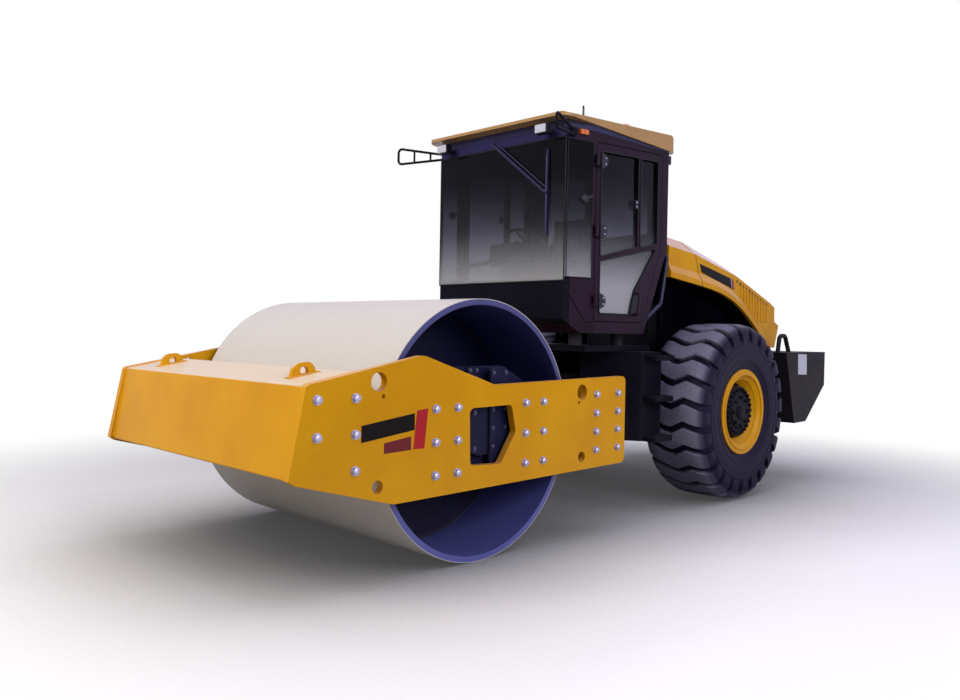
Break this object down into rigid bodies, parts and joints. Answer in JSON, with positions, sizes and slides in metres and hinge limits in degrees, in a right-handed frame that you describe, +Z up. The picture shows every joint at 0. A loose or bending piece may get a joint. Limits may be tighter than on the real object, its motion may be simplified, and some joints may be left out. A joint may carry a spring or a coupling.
{
  "type": "single-drum vibratory road roller",
  "caption": "Articulated soil compactor with a smooth steel drum in a bolted plate frame, a glazed cab and lugged drive tyres under a tilting hood",
  "frame": {"origin": "On the ground under the middle of the machine's length and width.", "axes": "+X towards the drum, the way the machine drives; +Y to the operator's left; +Z up."},
  "size_m": [6.637, 2.455, 3.365],
  "materials": {
    "yellow_paint": "glossy enamel, lightly dusted",
    "black_paint": "satin black enamel",
    "cab_paint": "dark satin enamel",
    "drum_paint": "dark blue enamel",
    "drum_steel": "rolled steel worn pale",
    "rubber": "matt moulded rubber",
    "tyre": "dusty rubber",
    "rod_chrome": "hard chrome",
    "engine_iron": "painted casting",
    "roof_gloss": "glossy moulded shell",
    "glass": "lightly tinted safety glass",
    "plastic": "grained black plastic",
    "seat_cover": "woven seat cloth",
    "lamp_plastic": "black lamp housing",
    "amber_lens": "amber lens",
    "beacon_lens": "orange-red lens"
  },
  "bodies": {
    "rear_frame": {"rear_chassis": "black_paint", "cab_deck": "black_paint", "cab_mounts": "rubber", "side_tanks": "black_paint", "rear_axle": "black_paint", "engine_block": "engine_iron", "engine_bay_floor": "black_paint", "engine_side_panels": "black_paint", "hood_cowl": "yellow_paint", "counterweight": "black_paint", "handrails": "black_paint", "cab_floor": "cab_paint", "cab_front": "cab_paint", "cab_rear_wall": "cab_paint", "cab_side_left": "cab_paint", "cab_side_right": "cab_paint", "cab_header": "cab_paint", "cab_roof": "roof_gloss", "windscreen": "glass", "quarter_glass": "glass", "rear_glass": "glass", "seat_base": "plastic", "seat_cushion": "seat_cover", "seat_back": "seat_cover", "control_console": "plastic", "work_lamps": "lamp_plastic", "marker_lamps": "amber_lens", "beacon": "beacon_lens", "mirror_brackets": "black_paint", "wiper": "black_paint"},
    "front_frame": {"side_plate_left": "yellow_paint", "side_plate_right": "yellow_paint", "front_beam": "yellow_paint", "rear_crossbeam": "yellow_paint", "drum_support_left": "drum_paint", "drum_support_right": "drum_paint", "rubber_buffers": "rubber", "drum_scrapers": "black_paint"},
    "drum": {"drum_shell": "drum_steel", "drum_heads": "drum_paint"},
    "yoke": {"articulation_yoke": "black_paint"},
    "steer_barrel_left": {"steer_barrel_left": "black_paint"},
    "steer_rod_left": {"steer_rod_left": "rod_chrome"},
    "steer_barrel_right": {"steer_barrel_right": "black_paint"},
    "steer_rod_right": {"steer_rod_right": "rod_chrome"},
    "door_left": {"door_left": "cab_paint", "door_glass_left": "glass"},
    "door_right": {"door_right": "cab_paint", "door_glass_right": "glass"},
    "hood": {"hood": "yellow_paint"},
    "wheel_left": {"tyre_left": "tyre", "rim_left": "yellow_paint", "hub_left": "black_paint"},
    "wheel_right": {"tyre_right": "tyre", "rim_right": "yellow_paint", "hub_right": "black_paint"}
  },
  "joints": [
    {"name": "steer", "type": "hinge", "parent": "rear_frame", "child": "yoke", "pos_m": [0.1215, 0, 0.82], "axis": [0, 0, 1], "range_deg": [-33, 33]},
    {"name": "oscillate", "type": "hinge", "parent": "yoke", "child": "front_frame", "pos_m": [0.1215, 0, 0.82], "axis": [1, 0, 0], "range_deg": [-10, 10]},
    {"name": "drum_spin", "type": "hinge", "parent": "front_frame", "child": "drum", "pos_m": [1.8215, 0, 0.85], "axis": [0, 1, 0], "continuous": true},
    {"name": "wheel_left_spin", "type": "hinge", "parent": "rear_frame", "child": "wheel_left", "pos_m": [-1.4385, 0.93, 0.8], "axis": [0, 1, 0], "continuous": true},
    {"name": "wheel_right_spin", "type": "hinge", "parent": "rear_frame", "child": "wheel_right", "pos_m": [-1.4385, -0.93, 0.8], "axis": [0, 1, 0], "continuous": true},
    {"name": "door_left_open", "type": "hinge", "parent": "rear_frame", "child": "door_left", "pos_m": [0.2735, 0.802, 2.31], "axis": [0, 0, -1], "range_deg": [0, 85]},
    {"name": "door_right_open", "type": "hinge", "parent": "rear_frame", "child": "door_right", "pos_m": [0.2735, -0.802, 2.31], "axis": [0, 0, 1], "range_deg": [0, 85]},
    {"name": "hood_open", "type": "hinge", "parent": "rear_frame", "child": "hood", "pos_m": [-2.9165, 0, 1.4], "axis": [0, -1, 0], "range_deg": [0, 50]},
    {"name": "steer_barrel_left_turn", "type": "hinge", "parent": "rear_frame", "child": "steer_barrel_left", "pos_m": [-0.4385, 0.24, 0.82], "axis": [0, 0, 1], "range_deg": [-8, 8]},
    {"name": "steer_rod_left_slide", "type": "slide", "parent": "steer_barrel_left", "child": "steer_rod_left", "axis": [0.9998, 0.0206, 0], "range_m": [-0.15, 0.15]},
    {"name": "steer_barrel_right_turn", "type": "hinge", "parent": "rear_frame", "child": "steer_barrel_right", "pos_m": [-0.4385, -0.24, 0.82], "axis": [0, 0, 1], "range_deg": [-8, 8]},
    {"name": "steer_rod_right_slide", "type": "slide", "parent": "steer_barrel_right", "child": "steer_rod_right", "axis": [0.9998, -0.0206, 0], "range_m": [-0.15, 0.15]}
  ],
  "couplings": [
    {"joint": "steer_barrel_left_turn", "follows": "steer", "ratio": 0.1688},
    {"joint": "steer_rod_left_slide", "follows": "steer", "m_per_rad": -0.2465},
    {"joint": "steer_barrel_right_turn", "follows": "steer", "ratio": 0.1688},
    {"joint": "steer_rod_right_slide", "follows": "steer", "m_per_rad": 0.2465}
  ]
}
